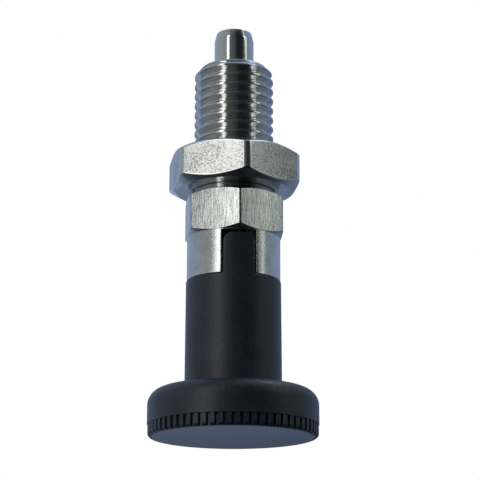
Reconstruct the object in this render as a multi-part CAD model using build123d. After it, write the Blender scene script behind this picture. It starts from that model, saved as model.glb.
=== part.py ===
from build123d import *
import math
import os

# Indexing plunger with hexagon collar, fine thread, lock nut and a lock-out
# knob.  Millimetres.  +Z runs along the plunger axis from the knob to the
# index pin.  The origin is on the axis, at the outer end face of the knob.
# The slot, the knob's tongue and one pair of collar corners lie on the Y axis.

# ---------------------------------------------------------------- dimensions
# axial stations
Z_TIP = 62.20            # free end of the index pin, at rest
Z_FRONT = 56.45          # front face of the threaded body
Z_NUT_TOP = 42.85        # lock nut, front face
Z_NUT_BOT = 36.85        # lock nut, rear face
Z_COLLAR_TOP = 35.87     # hexagon collar, front face
Z_COLLAR_BOT = 29.55     # hexagon collar, rear side
Z_SLOT_TOP = 29.50       # end of the guide slot
Z_TONGUE_TOP = 29.00     # free end of the knob's tongue
Z_BODY_END = 23.05       # rear face of the body
Z_SHOULDER = 23.03       # knob shoulder that stops on the rear face
Z_CROWN = 6.95           # top of the mushroom head
Z_KNURL_TOP = 1.79       # serrated band reaches from the end face to here

# threaded body
THREAD_D = 11.94         # M12 x 1.5 major diameter, right-hand
THREAD_CHAMFER = 1.12    # reaches below the thread's root
COLLAR_AF = 14.0         # across flats
COLLAR_CORNER_R = 0.15
COLLAR_CHAMFER_R = 6.90  # circle where the 30 degree chamfers start
REAR_D = 13.94           # rear cylinder, carries the slot
SLOT_W = 5.10
BORE_D = 6.04            # guides the index pin and holds the spring
Z_WALL = 33.00           # floor of the bore
ROD_HOLE_D = 4.10

# lock nut
NUT_AF = 18.0
NUT_CORNER_R = 0.85
NUT_CHAMFER_R = 8.60
NUT_BORE_D = 12.04
NUT_SINK_R = 6.30
NUT_TURN = 4.0           # degrees, how far one corner stands off the slot

# index pin
PIN_D = 5.97
ROD_D = 4.00
Z_PIN_SHOULDER = 46.00
Z_ROD_STEP = 15.00       # shoulder that the knob's hub is clamped against
STUD_D = 3.00            # M3 end
Z_STUD_END = 6.20

# return spring
SPRING_WIRE = 0.55
SPRING_MEAN_R = 2.50
SPRING_TURNS = 6.5       # working coils
SPRING_END_TURNS = 1.25  # closed coils at each end

# knob
HEAD_D = 25.0
CROWN_R = 2.40
SLEEVE_R_TOP = 7.04
SLEEVE_R_FOOT = 7.12
SLEEVE_FOOT_FILLET = 0.35
SLEEVE_RIM_FILLET = 0.25
TOOTH_R = 12.41
TOOTH_COUNT = 65
GROOVE_DEPTH = 0.40
GROOVE_W = 0.53
RIM_ROUND = 0.50
KNURL_PHASE = -0.57      # degrees, centre of the groove nearest to -Y
TONGUE_W = 4.65
TONGUE_CORNER_R = 1.30
CAP_RECESS_R = 11.88
CAP_RECESS_DEPTH = 1.00
CAVITY_R = 10.20
Z_CAVITY_TOP = 4.60
WELL_R = 4.60
Z_HUB_FLOOR = 10.00

# knob fixings
WASHER_OD = 7.0
WASHER_ID = 3.2
WASHER_T = 0.5
M3_NUT_AF = 5.5
M3_NUT_T = 2.4

# end cap
CAP_R = 11.85
CAP_T = 1.00
CAP_STEP_R = 10.15       # locating step that fits the head's cavity
CAP_STEP_TOP = 1.80

TAN30 = math.tan(math.radians(30.0))


def lathe(points):
    """Solid of revolution about Z from (radius, z) points."""
    face = make_face(Polyline(*[(r, 0, z) for r, z in points], close=True))
    return revolve(face, Axis.Z, 360)


def disc(radius, z0, z1):
    """Plain cylinder on the axis between two stations."""
    return Pos(0, 0, z0) * Cylinder(radius, z1 - z0,
                                    align=(Align.CENTER, Align.CENTER, Align.MIN))


def hex_prism(across_flats, corner_r, z0, z1, turn=0.0):
    """Hexagonal prism with two corners on the Y axis, turned about Z."""
    sk = RegularPolygon(across_flats / 2.0, 6, major_radius=False)
    sk = Rot(0, 0, 30) * sk
    # bring a corner onto -Y whichever way the polygon was laid out
    v = sk.vertices()[0]
    ang = math.degrees(math.atan2(v.Y, v.X))
    sk = Rot(0, 0, (-90.0 - ang) % 60.0) * sk
    if corner_r > 0:
        sk = fillet(sk.vertices(), corner_r)
    sk = Rot(0, 0, turn) * sk
    return Pos(0, 0, z0) * extrude(sk, z1 - z0)


def chamfer_envelope(r0, z0, z1, reach=3.0):
    """Barrel that puts 30 degree chamfers on both ends of a hexagon."""
    rise = reach * TAN30
    return lathe([(0, z0), (r0, z0), (r0 + reach, z0 + rise),
                  (r0 + reach, z1 - rise), (r0, z1), (0, z1)])


# ------------------------------------------------------- body: one turned part
def make_body():
    rt = THREAD_D / 2.0
    hexagon = hex_prism(COLLAR_AF, COLLAR_CORNER_R, Z_COLLAR_BOT, Z_COLLAR_TOP)
    hexagon = hexagon & chamfer_envelope(COLLAR_CHAMFER_R, Z_COLLAR_BOT,
                                         Z_COLLAR_TOP, 1.9)
    spindle = lathe([
        (0, Z_BODY_END), (REAR_D / 2.0 - 0.08, Z_BODY_END),
        (REAR_D / 2.0, Z_BODY_END + 0.08), (REAR_D / 2.0, Z_COLLAR_BOT + 1.0),
        (rt, Z_COLLAR_BOT + 1.0), (rt, Z_FRONT - THREAD_CHAMFER),
        (rt - THREAD_CHAMFER, Z_FRONT), (0, Z_FRONT)])
    solid = spindle + hexagon
    # bore from the front, rod hole through the wall behind it
    solid = solid - disc(BORE_D / 2.0, Z_WALL, Z_FRONT + 1.0)
    solid = solid - lathe([(0, Z_FRONT - 0.25), (BORE_D / 2.0, Z_FRONT - 0.25),
                           (BORE_D / 2.0 + 0.5, Z_FRONT + 0.25),
                           (0, Z_FRONT + 0.25)])
    solid = solid - disc(ROD_HOLE_D / 2.0, Z_SLOT_TOP - 1.0, Z_WALL + 0.5)
    # slot milled straight across the rear cylinder
    slot_h = Z_SLOT_TOP - (Z_BODY_END - 1.0)
    slot = Pos(0, 0, Z_BODY_END - 1.0) * Box(
        SLOT_W, 20.0, slot_h, align=(Align.CENTER, Align.CENTER, Align.MIN))
    return solid - slot


# -------------------------------------------------------------------- lock nut
def make_lock_nut():
    nut = hex_prism(NUT_AF, NUT_CORNER_R, Z_NUT_BOT, Z_NUT_TOP, NUT_TURN)
    nut = nut & chamfer_envelope(NUT_CHAMFER_R, Z_NUT_BOT, Z_NUT_TOP, 2.4)
    nut = nut - disc(NUT_BORE_D / 2.0, Z_NUT_BOT - 1.0, Z_NUT_TOP + 1.0)
    s = NUT_SINK_R - NUT_BORE_D / 2.0
    for z, d in ((Z_NUT_BOT, 1.0), (Z_NUT_TOP, -1.0)):
        nut = nut - lathe([(0, z - d * 0.5), (NUT_SINK_R + 0.5, z - d * 0.5),
                           (NUT_SINK_R - s, z + d * s), (0, z + d * s)])
    return nut


# ------------------------------------------------------------------- index pin
def make_pin():
    rp, rr, rs = PIN_D / 2.0, ROD_D / 2.0, STUD_D / 2.0
    return lathe([
        (0, Z_STUD_END), (rs - 0.3, Z_STUD_END), (rs, Z_STUD_END + 0.3),
        (rs, Z_ROD_STEP), (rr, Z_ROD_STEP), (rr, Z_PIN_SHOULDER),
        (rp - 0.2, Z_PIN_SHOULDER), (rp, Z_PIN_SHOULDER + 0.2),
        (rp, Z_TIP - 1.30), (rp - 0.285, Z_TIP - 0.14), (rp - 0.33, Z_TIP - 0.045),
        (rp - 0.43, Z_TIP), (0, Z_TIP)])


# --------------------------------------------------------------- return spring
def make_spring():
    """Compression spring with a closed coil and a quarter at each end."""
    def tube(pitch, height, z, start_deg):
        path = Rot(0, 0, start_deg) * Helix(pitch, height, SPRING_MEAN_R,
                                            center=(0, 0, z))
        section = Plane(origin=path @ 0, z_dir=path % 0) * Circle(SPRING_WIRE / 2.0)
        return sweep(section, path=path, is_frenet=True)

    clear = 0.01
    length = Z_PIN_SHOULDER - Z_WALL - SPRING_WIRE - 2 * clear
    end_pitch = SPRING_WIRE + 0.02
    end_h = SPRING_END_TURNS * end_pitch
    mid_h = length - 2 * end_h
    z0 = Z_WALL + SPRING_WIRE / 2.0 + clear
    a1 = 360.0 * SPRING_END_TURNS
    a2 = a1 + 360.0 * SPRING_TURNS
    return (tube(end_pitch, end_h, z0, 0.0)
            + tube(mid_h / SPRING_TURNS, mid_h, z0 + end_h, a1 % 360.0)
            + tube(end_pitch, end_h, z0 + end_h + mid_h, a2 % 360.0))


# ------------------------------------------------------------------------ knob
def make_knob():
    rh = HEAD_D / 2.0
    with BuildPart() as bp:
        with BuildSketch(Plane.XZ):
            with BuildLine():
                r_foot = SLEEVE_R_FOOT
                f = SLEEVE_FOOT_FILLET
                g = SLEEVE_RIM_FILLET
                Polyline((0, 0), (TOOTH_R - RIM_ROUND, 0))
                RadiusArc((TOOTH_R - RIM_ROUND, 0), (TOOTH_R, RIM_ROUND), -RIM_ROUND)
                Polyline((TOOTH_R, RIM_ROUND), (TOOTH_R, Z_KNURL_TOP),
                         (rh, Z_KNURL_TOP), (rh, Z_CROWN - CROWN_R))
                RadiusArc((rh, Z_CROWN - CROWN_R), (rh - CROWN_R, Z_CROWN), -CROWN_R)
                Line((rh - CROWN_R, Z_CROWN), (r_foot + f, Z_CROWN))
                RadiusArc((r_foot + f, Z_CROWN), (r_foot, Z_CROWN + f), f)
                Line((r_foot, Z_CROWN + f), (SLEEVE_R_TOP, Z_SHOULDER - g))
                RadiusArc((SLEEVE_R_TOP, Z_SHOULDER - g),
                          (SLEEVE_R_TOP - g, Z_SHOULDER), -g)
                Polyline((SLEEVE_R_TOP - g, Z_SHOULDER), (0, Z_SHOULDER), (0, 0))
            make_face()
        revolve(axis=Axis.Z)
    knob = bp.part
    # tongue: a bar straight across, with rounded free corners, as round
    # outside as the sleeve
    bar_h = Z_TONGUE_TOP - 20.0
    bar = Pos(0, 0, 20.0) * Box(TONGUE_W, 2 * SLEEVE_R_TOP + 2, bar_h,
                                align=(Align.CENTER, Align.CENTER, Align.MIN))
    top = [e for e in bar.edges().filter_by(Axis.Y)
           if e.center().Z > Z_TONGUE_TOP - 0.01]
    bar = fillet(top, TONGUE_CORNER_R)
    bar = bar & disc(SLEEVE_R_TOP, 19.0, Z_TONGUE_TOP + 1.0)
    # below the shoulder the bar stays inside the sleeve
    bar = bar & (disc(SLEEVE_R_TOP, Z_SHOULDER - SLEEVE_RIM_FILLET,
                      Z_TONGUE_TOP + 1.0)
                 + disc(6.0, 19.0, Z_SHOULDER))
    knob = knob + bar
    # hollow head, closed by the cap, and the well for the fixing nut
    knob = knob - disc(CAP_RECESS_R, -1.0, CAP_RECESS_DEPTH)
    knob = knob - disc(CAVITY_R, -1.0, Z_CAVITY_TOP)
    knob = knob - disc(WELL_R, -1.0, Z_HUB_FLOOR)
    knob = knob - disc(STUD_D / 2.0 + 0.05, 0.0, Z_ROD_STEP + 0.5)
    knob = knob - disc(ROD_D / 2.0, Z_ROD_STEP, Z_TONGUE_TOP + 1.0)
    # serrations round the rim
    cutters = []
    for i in range(TOOTH_COUNT):
        a = -90.0 + KNURL_PHASE + i * 360.0 / TOOTH_COUNT
        c = Pos(0, 0, -0.5) * Box(2.0, GROOVE_W, Z_KNURL_TOP + 0.5,
                                  align=(Align.MIN, Align.CENTER, Align.MIN))
        cutters.append(Rot(0, 0, a) * Pos(TOOTH_R - GROOVE_DEPTH, 0, 0) * c)
    knob = knob - cutters
    return knob


# --------------------------------------------------------------- knob fixings
def make_washer():
    z1 = Z_HUB_FLOOR
    z0 = z1 - WASHER_T
    return disc(WASHER_OD / 2.0, z0, z1) - disc(WASHER_ID / 2.0, z0 - 1, z1 + 1)


def make_m3_nut():
    z1 = Z_HUB_FLOOR - WASHER_T
    z0 = z1 - M3_NUT_T
    nut = hex_prism(M3_NUT_AF, 0.0, z0, z1)
    nut = nut & chamfer_envelope(2.6, z0, z1, 1.0)
    return nut - disc(STUD_D / 2.0, z0 - 1.0, z1 + 1.0)


def make_cap():
    return lathe([
        (0, 0), (CAP_R - 0.08, 0), (CAP_R, 0.08), (CAP_R, CAP_T),
        (CAP_STEP_R, CAP_T), (CAP_STEP_R, CAP_STEP_TOP - 0.3),
        (CAP_STEP_R - 0.3, CAP_STEP_TOP), (0, CAP_STEP_TOP)])


parts = {
    "body": make_body(),
    "lock_nut": make_lock_nut(),
    "index_pin": make_pin(),
    "return_spring": make_spring(),
    "knob": make_knob(),
    "knob_washer": make_washer(),
    "knob_nut": make_m3_nut(),
    "end_cap": make_cap(),
}

os.makedirs("parts", exist_ok=True)
for name, shape in parts.items():
    solids = shape.solids()
    out = solids[0] if len(solids) == 1 else Compound(children=list(solids))
    export_step(out, f"parts/{name}.step")
    box = out.bounding_box()
    print(name, len(solids), round(out.volume, 2),
          [round(v, 3) for v in (box.min.X, box.min.Y, box.min.Z)],
          [round(v, 3) for v in (box.max.X, box.max.Y, box.max.Z)])
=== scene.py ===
import math

import bmesh
import bpy
import numpy as np
from mathutils import Matrix, Vector


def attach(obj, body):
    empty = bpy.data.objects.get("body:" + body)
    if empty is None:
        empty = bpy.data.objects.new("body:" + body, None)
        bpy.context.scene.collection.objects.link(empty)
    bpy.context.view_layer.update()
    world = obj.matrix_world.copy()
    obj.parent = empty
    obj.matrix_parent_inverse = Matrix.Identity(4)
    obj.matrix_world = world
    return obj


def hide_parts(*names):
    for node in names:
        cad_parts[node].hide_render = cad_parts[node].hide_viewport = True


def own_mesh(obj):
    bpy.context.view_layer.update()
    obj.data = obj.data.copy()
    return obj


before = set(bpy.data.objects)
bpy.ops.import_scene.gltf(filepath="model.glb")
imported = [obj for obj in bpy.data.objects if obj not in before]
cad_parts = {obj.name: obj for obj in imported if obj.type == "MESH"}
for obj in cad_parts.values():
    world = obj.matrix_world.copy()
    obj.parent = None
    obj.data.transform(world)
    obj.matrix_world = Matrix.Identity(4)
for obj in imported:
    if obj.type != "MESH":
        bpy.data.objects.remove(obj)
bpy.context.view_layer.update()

# Indexing plunger.  Lengths in the mesh code are millimetres, in the frame of
# the solids: +Z from the knob to the index pin, the slot and tongue on Y.
MM = 0.001
TAU = 2.0 * math.pi
T30 = math.tan(math.radians(30.0))

# ------------------------------------------------------------- dimensions (mm)
Z_TIP, Z_FRONT = 62.199, 56.45
NUT_Z0, NUT_Z1 = 36.85, 42.85
COLLAR_Z0, COLLAR_Z1 = 29.55, 35.87
Z_SLOT, Z_TONGUE = 29.50, 29.00
Z_BODY_END, Z_SHOULDER = 23.05, 23.03
Z_CROWN, Z_KNURL = 6.95, 1.79

THREAD_R, PITCH = 5.97, 1.50
CREST_W, ROOT_W = 0.26, 0.22
CREST_Z, CREST_AT = 49.48, math.radians(-96.9)   # upper edge of a crest there
FRONT_CUT = 1.12                                 # 45 degree chamfer of the end
SHANK_R, SHANK_Z = 5.99, 37.05                   # plain shank under the thread
COLLAR_AF, COLLAR_CORNER, COLLAR_RING = 14.0, 0.42, 6.90
COLLAR_CROWN, NUT_CROWN = 0.11, 0.055
REAR_R, SLOT_HALF = 6.94, 2.55
BORE_R, Z_WALL, ROD_HOLE_R = 3.02, 33.0, 2.05

NUT_AF, NUT_CORNER, NUT_RING = 18.22, 1.20, 8.60
NUT_BORE_R, NUT_SINK_R, NUT_TURN = 6.02, 6.30, math.radians(4.3)

HEAD_R, CROWN_R = 12.499, 2.40
SLEEVE_TOP_R, SLEEVE_FOOT_R = 7.04, 7.12
TEETH, TOOTH_R, GROOVE_DEEP = 65, 12.41, 0.43
KNURL_AT = math.radians(-90.0 - 1.05)
TONGUE_HALF, TONGUE_ROUND = 2.325, 1.30
RECESS_R, CAVITY_R, WELL_R = 11.88, 10.20, 4.60
ROD_R, STUD_R = 2.00, 1.50


# ---------------------------------------------------------------- mesh builder
class Shell:
    """Rings and patches of one piece, gathered in millimetres."""

    def __init__(self):
        self.v, self.f, self.m = [], [], []

    def add(self, pts):
        base = len(self.v)
        self.v.extend((float(p[0]), float(p[1]), float(p[2])) for p in pts)
        return list(range(base, len(self.v)))

    def ring(self, r, z, th):
        r = np.broadcast_to(r, len(th))
        return self.add([(a * math.cos(t), a * math.sin(t), z)
                         for a, t in zip(r, th)])

    def face(self, idx, mat=0):
        out = []
        for i in idx:
            if not out or out[-1] != i:
                out.append(i)
        if len(out) > 2:
            self.f.append(tuple(out))
            self.m.append(mat)

    def band(self, a, b, mat=0, closed=True):
        n = len(a)
        for i in range(n if closed else n - 1):
            j = (i + 1) % n
            self.face((a[i], a[j], b[j], b[i]), mat)

    def cap(self, loop, centre, mat=0):
        c = self.add([centre])[0]
        for i in range(len(loop)):
            self.face((loop[i], loop[(i + 1) % len(loop)], c), mat)

    def stitch(self, a, ta, b, tb, mat=0):
        """Joins two closed rings with different columns, both in rising angle."""
        ta = [t % TAU for t in ta]
        tb = [t % TAU for t in tb]
        ia = sorted(range(len(a)), key=lambda i: ta[i])
        ib = sorted(range(len(b)), key=lambda i: tb[i])
        na, nb, i, j = len(a), len(b), 0, 0
        while i < na or j < nb:
            pa, pb = a[ia[i % na]], b[ib[j % nb]]
            nxt_a = ta[ia[i + 1]] if i + 1 < na else ta[ia[0]] + TAU
            nxt_b = tb[ib[j + 1]] if j + 1 < nb else tb[ib[0]] + TAU
            if j >= nb or (i < na and nxt_a <= nxt_b):
                self.face((pa, a[ia[(i + 1) % na]], pb), mat)
                i += 1
            else:
                self.face((pa, b[ib[(j + 1) % nb]], pb), mat)
                j += 1

    def lathe(self, profile, th, mat=0):
        """Surface of revolution; mat is one index or one for each band."""
        loops = []
        for r, z in profile:
            loops.append(self.ring(r, z, th) if r > 1e-6 else self.add([(0, 0, z)]))
        for k in range(len(loops) - 1):
            a, b = loops[k], loops[k + 1]
            m = mat[k] if isinstance(mat, (list, tuple)) else mat
            if len(a) == 1 and len(b) > 1:
                for i in range(len(b)):
                    self.face((a[0], b[(i + 1) % len(b)], b[i]), m)
            elif len(b) == 1 and len(a) > 1:
                for i in range(len(a)):
                    self.face((a[i], a[(i + 1) % len(a)], b[0]), m)
            else:
                self.band(a, b, m)
        return loops

    def build(self, name, materials, sharp=30.0):
        me = bpy.data.meshes.new(name)
        bm = bmesh.new()
        vs = [bm.verts.new(p) for p in self.v]
        for f, m in zip(self.f, self.m):
            try:
                face = bm.faces.new([vs[i] for i in f])
            except ValueError:
                continue
            face.material_index = m
            face.smooth = True
        bmesh.ops.remove_doubles(bm, verts=bm.verts, dist=4e-4)
        bmesh.ops.dissolve_degenerate(bm, edges=bm.edges, dist=2e-4)
        loose = [v for v in bm.verts if not v.link_faces]
        bmesh.ops.delete(bm, geom=loose, context="VERTS")
        bmesh.ops.recalc_face_normals(bm, faces=bm.faces)
        open_edges = sum(1 for e in bm.edges if len(e.link_faces) != 2)
        bmesh.ops.scale(bm, vec=(MM, MM, MM), verts=bm.verts)
        bm.to_mesh(me)
        tris = sum(len(f.verts) - 2 for f in bm.faces)
        bm.free()
        me.set_sharp_from_angle(angle=math.radians(sharp))
        for m in materials:
            me.materials.append(m)
        ob = bpy.data.objects.new(name, me)
        bpy.context.scene.collection.objects.link(ob)
        w = ob.modifiers.new("flat_faces_stay_flat", "WEIGHTED_NORMAL")
        w.keep_sharp = True
        w.weight = 60
        print(f"{name}: {tris} triangles, {open_edges} edges not on two faces")
        return ob


def rounded(points, radii, n=3):
    """Polyline whose inner corners are replaced by arcs of n steps."""
    pts = [np.array(p, float) for p in points]
    out = [pts[0]]
    for k in range(1, len(pts) - 1):
        p, r = pts[k], radii[k - 1]
        a, b = pts[k - 1] - p, pts[k + 1] - p
        la, lb = np.linalg.norm(a), np.linalg.norm(b)
        if r <= 0 or la < 1e-9 or lb < 1e-9:
            out += [p] * (n + 1)
            continue
        a, b = a / la, b / lb
        half = 0.5 * math.acos(max(-1.0, min(1.0, float(a @ b))))
        tl = min(r / math.tan(half), 0.48 * la, 0.48 * lb)
        r = tl * math.tan(half)
        c = p + (a + b) / np.linalg.norm(a + b) * (r / math.sin(half))
        s, e = p + a * tl - c, p + b * tl - c
        turn = math.pi - 2 * half
        sign = 1.0 if s[0] * e[1] - s[1] * e[0] > 0 else -1.0
        for i in range(n + 1):
            w = sign * turn * i / n
            out.append(c + np.array([s[0] * math.cos(w) - s[1] * math.sin(w),
                                     s[0] * math.sin(w) + s[1] * math.cos(w)]))
    out.append(pts[-1])
    return [(float(p[0]), float(p[1])) for p in out]


def uniform(n, start=-math.pi / 2):
    return [start + TAU * i / n for i in range(n)]


def columns(n, extra, start=-math.pi / 2, keep=0.004):
    """Even columns plus special ones; an even one too near a special goes."""
    ex = sorted({round((t - start) % TAU, 9) for t in extra})
    ev = [TAU * i / n for i in range(n)]
    ev = [t for t in ev
          if all(abs((t - e + math.pi) % TAU - math.pi) > keep for e in ex)]
    return [start + t for t in sorted(ex + ev)]


def hex_arc(af, corner, crown):
    """Corner arc of a hexagon whose flats are crowned: centre, tangent point."""
    half = af / 2 * math.tan(math.pi / 6)
    lean = math.atan(2 * crown / half)             # how far a flat leans at its ends
    span = math.radians(30.0) - lean               # half the arc
    # tangent point on the flat, seen from the flat's middle: (along, distance)
    lo, hi = 0.5 * half, half
    for _ in range(50):
        t = 0.5 * (lo + hi)
        y = af / 2 - crown * (t / half) ** 2
        g = math.atan(2 * crown * t / half ** 2)
        cx, cy = t - corner * math.sin(g), y - corner * math.cos(g)
        # the centre has to lie on the line through the corner
        if cx / cy < math.tan(math.pi / 6):
            lo = t
        else:
            hi = t
    return math.hypot(cx, cy), math.pi / 6 - math.atan2(t, y), g, t, half


def hex_radius(th, af, corner, turn, crown=0.0):
    """Distance from the axis to a hexagon with rounded corners, crowned flats."""
    dc, tang, _, _, half = hex_arc(af, corner, crown)
    d = abs((th - (-math.pi / 2 + turn) + math.pi / 6) % (math.pi / 3) - math.pi / 6)
    if d < tang:
        return dc * math.cos(d) + math.sqrt(corner ** 2 - (dc * math.sin(d)) ** 2)
    w = math.pi / 6 - d                            # from the middle of the flat
    r = af / 2 / math.cos(w)
    for _ in range(6):
        r = (af / 2 - crown * (r * math.sin(w) / half) ** 2) / math.cos(w)
    return r


def hex_columns(af, corner, turn, steps=4, crown=0.0):
    dc, tang, g, _, _ = hex_arc(af, corner, crown)
    out = []
    for k in range(6):
        c = -math.pi / 2 + turn + k * math.pi / 3
        for i in range(-steps, steps + 1):
            w = (math.radians(30.0) - g) * i / steps
            out.append(c + math.atan2(corner * math.sin(w),
                                      dc + corner * math.cos(w)))
    return out


# ------------------------------------------------------------------- materials
def nodes_of(name):
    m = bpy.data.materials.new(name)
    m.use_nodes = True
    nt = m.node_tree
    nt.nodes.clear()
    out = nt.nodes.new("ShaderNodeOutputMaterial")
    bsdf = nt.nodes.new("ShaderNodeBsdfPrincipled")
    nt.links.new(bsdf.outputs["BSDF"], out.inputs["Surface"])
    return m, nt, bsdf


def coords(nt, scale, kind="Object"):
    """Object coordinates in millimetres, stretched by scale."""
    tc = nt.nodes.new("ShaderNodeTexCoord")
    mp = nt.nodes.new("ShaderNodeMapping")
    mp.inputs["Scale"].default_value = [s / MM for s in scale]
    nt.links.new(tc.outputs[kind], mp.inputs["Vector"])
    return mp.outputs["Vector"]


def noise(nt, vec, scale=1.0, detail=3.0, rough=0.55, distortion=0.0):
    n = nt.nodes.new("ShaderNodeTexNoise")
    n.inputs["Scale"].default_value = scale
    n.inputs["Detail"].default_value = detail
    n.inputs["Roughness"].default_value = rough
    n.inputs["Distortion"].default_value = distortion
    nt.links.new(vec, n.inputs["Vector"])
    return n.outputs["Fac"]


def remap(nt, val, a0, a1, b0, b1):
    n = nt.nodes.new("ShaderNodeMapRange")
    n.inputs["From Min"].default_value = a0
    n.inputs["From Max"].default_value = a1
    n.inputs["To Min"].default_value = b0
    n.inputs["To Max"].default_value = b1
    nt.links.new(val, n.inputs["Value"])
    return n.outputs["Result"]


def mathn(nt, op, a, b=None):
    n = nt.nodes.new("ShaderNodeMath")
    n.operation = op
    for i, x in enumerate((a, b)):
        if x is None:
            continue
        if isinstance(x, (int, float)):
            n.inputs[i].default_value = x
        else:
            nt.links.new(x, n.inputs[i])
    return n.outputs[0]


def mix_colour(nt, fac, c0, c1):
    n = nt.nodes.new("ShaderNodeMix")
    n.data_type = "RGBA"
    nt.links.new(fac, n.inputs["Factor"])
    for sock, c in ((n.inputs["A"], c0), (n.inputs["B"], c1)):
        pass
    a = [s for s in n.inputs if s.name == "A" and s.type == "RGBA"][0]
    b = [s for s in n.inputs if s.name == "B" and s.type == "RGBA"][0]
    for s, c in ((a, c0), (b, c1)):
        if isinstance(c, (tuple, list)):
            s.default_value = (*c, 1.0)
        else:
            nt.links.new(c, s)
    return [s for s in n.outputs if s.type == "RGBA"][0]


def bump(nt, height, strength, dist_mm, normal=None):
    n = nt.nodes.new("ShaderNodeBump")
    n.inputs["Strength"].default_value = strength
    n.inputs["Distance"].default_value = dist_mm * MM
    nt.links.new(height, n.inputs["Height"])
    if normal is not None:
        nt.links.new(normal, n.inputs["Normal"])
    return n.outputs["Normal"]


def tangent(nt, bsdf, amount):
    """Grooves of the lathe run round the axis: gloss spreads along it."""
    t = nt.nodes.new("ShaderNodeTangent")
    t.direction_type = "RADIAL"
    t.axis = "Z"
    nt.links.new(t.outputs["Tangent"], bsdf.inputs["Tangent"])
    bsdf.inputs["Anisotropic"].default_value = amount
    bsdf.inputs["Anisotropic Rotation"].default_value = 0.25


def radius_plus_z(nt, around, along):
    """Vector that changes fast across lathe grooves and slowly along them."""
    tc = nt.nodes.new("ShaderNodeTexCoord")
    sep = nt.nodes.new("ShaderNodeSeparateXYZ")
    nt.links.new(tc.outputs["Object"], sep.inputs[0])
    x2 = mathn(nt, "MULTIPLY", sep.outputs["X"], sep.outputs["X"])
    y2 = mathn(nt, "MULTIPLY", sep.outputs["Y"], sep.outputs["Y"])
    r = mathn(nt, "SQRT", mathn(nt, "ADD", x2, y2))
    s = mathn(nt, "MULTIPLY", mathn(nt, "ADD", sep.outputs["Z"], r), along / MM)
    comb = nt.nodes.new("ShaderNodeCombineXYZ")
    nt.links.new(mathn(nt, "MULTIPLY", sep.outputs["X"], around / MM), comb.inputs[0])
    nt.links.new(mathn(nt, "MULTIPLY", sep.outputs["Y"], around / MM), comb.inputs[1])
    nt.links.new(s, comb.inputs[2])
    return comb.outputs[0]


def steel_turned(name, rough=(0.17, 0.27), aniso=0.72, rings=9.0, ring_bump=0.22,
                 grain=0.10, dark=(0.52, 0.525, 0.52), light=(0.66, 0.66, 0.645)):
    m, nt, b = nodes_of(name)
    b.inputs["Metallic"].default_value = 1.0
    cloud = noise(nt, coords(nt, (0.35, 0.35, 0.5)), 1.0, 4.0, 0.6)
    fine = noise(nt, coords(nt, (6.0, 6.0, 6.0)), 1.0, 3.0, 0.6)
    ringn = noise(nt, radius_plus_z(nt, 0.12, rings), 1.0, 4.0, 0.65)
    fac = remap(nt, mathn(nt, "ADD", mathn(nt, "MULTIPLY", cloud, 0.6),
                          mathn(nt, "MULTIPLY", ringn, 0.4)), 0.35, 0.65, 0.0, 1.0)
    nt.links.new(mix_colour(nt, fac, dark, light), b.inputs["Base Color"])
    nt.links.new(remap(nt, ringn, 0.3, 0.7, rough[0], rough[1]), b.inputs["Roughness"])
    tangent(nt, b, aniso)
    nrm = bump(nt, ringn, ring_bump, 0.010)
    nrm = bump(nt, fine, grain, 0.010, nrm)
    nt.links.new(nrm, b.inputs["Normal"])
    return m


def steel_drawn(name, rough=(0.22, 0.34), streak=0.80, grain=0.40, contrast=1.35,
                dark=(0.34, 0.345, 0.34), light=(0.76, 0.76, 0.74)):
    """Bright-drawn bar: fine scores along the axis, broken by small marks."""
    m, nt, b = nodes_of(name)
    b.inputs["Metallic"].default_value = 1.0
    st = noise(nt, coords(nt, (8.5, 8.5, 0.55)), 1.0, 2.0, 0.6)
    tick = noise(nt, coords(nt, (8.0, 8.0, 2.6)), 1.0, 2.0, 0.6)
    cloud = noise(nt, coords(nt, (0.6, 0.6, 0.3)), 1.0, 3.0, 0.5)
    mixv = mathn(nt, "ADD", mathn(nt, "MULTIPLY", st, 0.55),
                 mathn(nt, "ADD", mathn(nt, "MULTIPLY", tick, 0.35),
                       mathn(nt, "MULTIPLY", cloud, 0.10)))
    spread = 0.10 / contrast
    nt.links.new(mix_colour(nt, remap(nt, mixv, 0.5 - spread, 0.5 + spread, 0.0, 1.0),
                            dark, light), b.inputs["Base Color"])
    nt.links.new(remap(nt, tick, 0.3, 0.7, rough[0], rough[1]), b.inputs["Roughness"])
    nrm = bump(nt, st, streak, 0.012)
    nrm = bump(nt, tick, grain, 0.012, nrm)
    nt.links.new(nrm, b.inputs["Normal"])
    return m


def steel_ground(name, rough=(0.19, 0.32), aniso=0.35, grain=0.70):
    """Ground cylinder: short fine marks that break up the edge of a highlight."""
    m, nt, b = nodes_of(name)
    b.inputs["Metallic"].default_value = 1.0
    mark = noise(nt, coords(nt, (7.0, 7.0, 4.0)), 1.0, 2.0, 0.6)
    cloud = noise(nt, coords(nt, (0.5, 0.5, 0.4)), 1.0, 3.0, 0.6)
    v = mathn(nt, "ADD", mathn(nt, "MULTIPLY", mark, 0.6),
              mathn(nt, "MULTIPLY", cloud, 0.4))
    nt.links.new(mix_colour(nt, remap(nt, v, 0.40, 0.58, 0.0, 1.0),
                            (0.48, 0.485, 0.48), (0.67, 0.67, 0.655)),
                 b.inputs["Base Color"])
    nt.links.new(remap(nt, mark, 0.3, 0.7, rough[0], rough[1]), b.inputs["Roughness"])
    tangent(nt, b, aniso)
    nt.links.new(bump(nt, mark, grain, 0.012), b.inputs["Normal"])
    return m


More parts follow.
